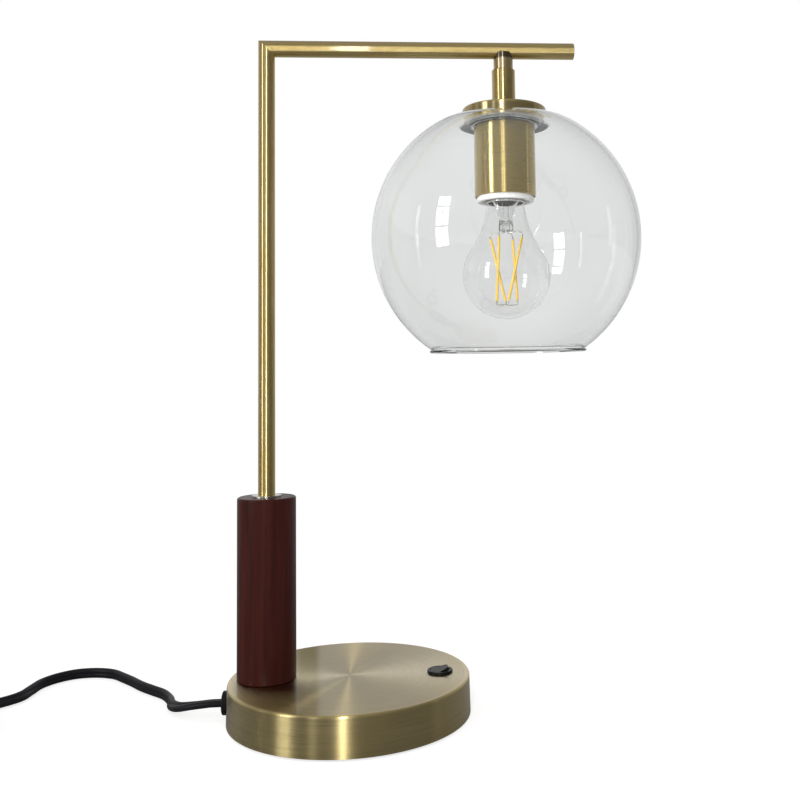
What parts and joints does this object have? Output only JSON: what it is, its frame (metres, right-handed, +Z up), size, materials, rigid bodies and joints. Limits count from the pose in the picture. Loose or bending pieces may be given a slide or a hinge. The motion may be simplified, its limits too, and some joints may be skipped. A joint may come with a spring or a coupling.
{
  "type": "table lamp",
  "caption": "Table lamp with a round weighted base, offset pole with wooden grip, straight arm, and clear globe shade hung over a clear filament bulb; rocker switch on the base, plugged cord.",
  "frame": {"origin": "centre of the base on the surface the lamp stands on", "axes": "+Z up the pole, +X from the pole along the arm to the shade, the cord leaves the base towards -X"},
  "size_m": [0.521, 0.216, 0.442],
  "materials": {
    "brass_cover": "brushed antique brass, fine circular brushing on flat tops, lacquered",
    "brass_tube": "brushed antique brass, lacquered",
    "brass_plain": "plain pressed brass",
    "weight_iron": "raw casting, sealed inside the base",
    "plated_steel": "zinc plated",
    "nickel": "nickel plated, satin",
    "pad_foam": "dense black foam",
    "pad_rubber": "thin black rubber",
    "mahogany": "dark red-brown stain, semi-gloss lacquer, grain along the height",
    "shade_glass": "clear, slightly green in the edges",
    "bulb_glass": "clear, thin",
    "bulb_glass_black": "black glass insulator",
    "clear_washer": "clear moulded washer, seen through the crown",
    "holder_white": "moulded white",
    "bulb_metal": "nickel-plated screw cap",
    "board_green": "printed board with its components",
    "strip_amber": "yellow-amber coated light strip, unlit",
    "switch_black": "fine satin black",
    "cord_black": "black flexible sheath with a soft sheen",
    "wire_black": "black insulation"
  },
  "bodies": {
    "lamp": {"base_cover": "brass_cover", "base_weight": "weight_iron", "bottom_plate": "plated_steel", "bottom_screws": "plated_steel", "foot_pad": "pad_foam", "threaded_rod": "plated_steel", "rod_nut": "plated_steel", "rod_washer": "plated_steel", "wood_sleeve": "mahogany", "sleeve_washer": "nickel", "tube_insert": "brass_plain", "pole_tube": "brass_tube", "arm_tube": "brass_tube", "arm_end_cap": "brass_tube", "stem_stub": "brass_tube", "stem_collar": "brass_tube", "holder_nipple": "plated_steel", "shade_cap": "brass_cover", "shade_gasket": "pad_rubber", "glass_shade": "shade_glass", "shade_washer": "clear_washer", "socket_cup": "brass_tube", "holder_lock_nut": "plated_steel", "holder_cap": "holder_white", "holder_body": "holder_white", "holder_shell": "brass_plain", "holder_contact": "brass_plain", "holder_terminals": "brass_plain", "switch_housing": "switch_black", "switch_terminals": "brass_plain", "cord_grommet": "switch_black", "cord_tail": "cord_black", "pole_wires": "wire_black", "base_wires": "wire_black", "wire_connector": "holder_white", "supply_cord": "cord_black", "cord_coil": "cord_black", "cord_tie": "switch_black", "plug_body": "cord_black", "plug_blades": "brass_plain"},
    "rocker": {"switch_rocker": "switch_black", "switch_plunger": "plated_steel", "switch_spring": "plated_steel"},
    "contact_blade": {"switch_blade": "brass_plain"},
    "bulb": {"bulb_glass": "bulb_glass", "bulb_cap": "bulb_metal", "bulb_insulator": "bulb_glass_black", "bulb_end_contact": "bulb_metal", "bulb_driver": "board_green", "bulb_stem": "bulb_glass", "bulb_support_wires": "nickel", "bulb_filaments": "strip_amber"}
  },
  "joints": [
    {"name": "rocker_press", "type": "hinge", "parent": "lamp", "child": "rocker", "pos_m": [0.058, 0, 0.025], "axis": [0, 1, 0], "range_deg": [0, 22]},
    {"name": "blade_seesaw", "type": "hinge", "parent": "lamp", "child": "contact_blade", "pos_m": [0.058, 0, 0.01575], "axis": [0, 1, 0], "range_deg": [-11, 0]},
    {"name": "bulb_out", "type": "slide", "parent": "lamp", "child": "bulb", "axis": [0, 0, -1], "range_m": [0, 0.13]}
  ],
  "couplings": [
    {"joint": "blade_seesaw", "follows": "rocker_press", "ratio": -0.5}
  ]
}
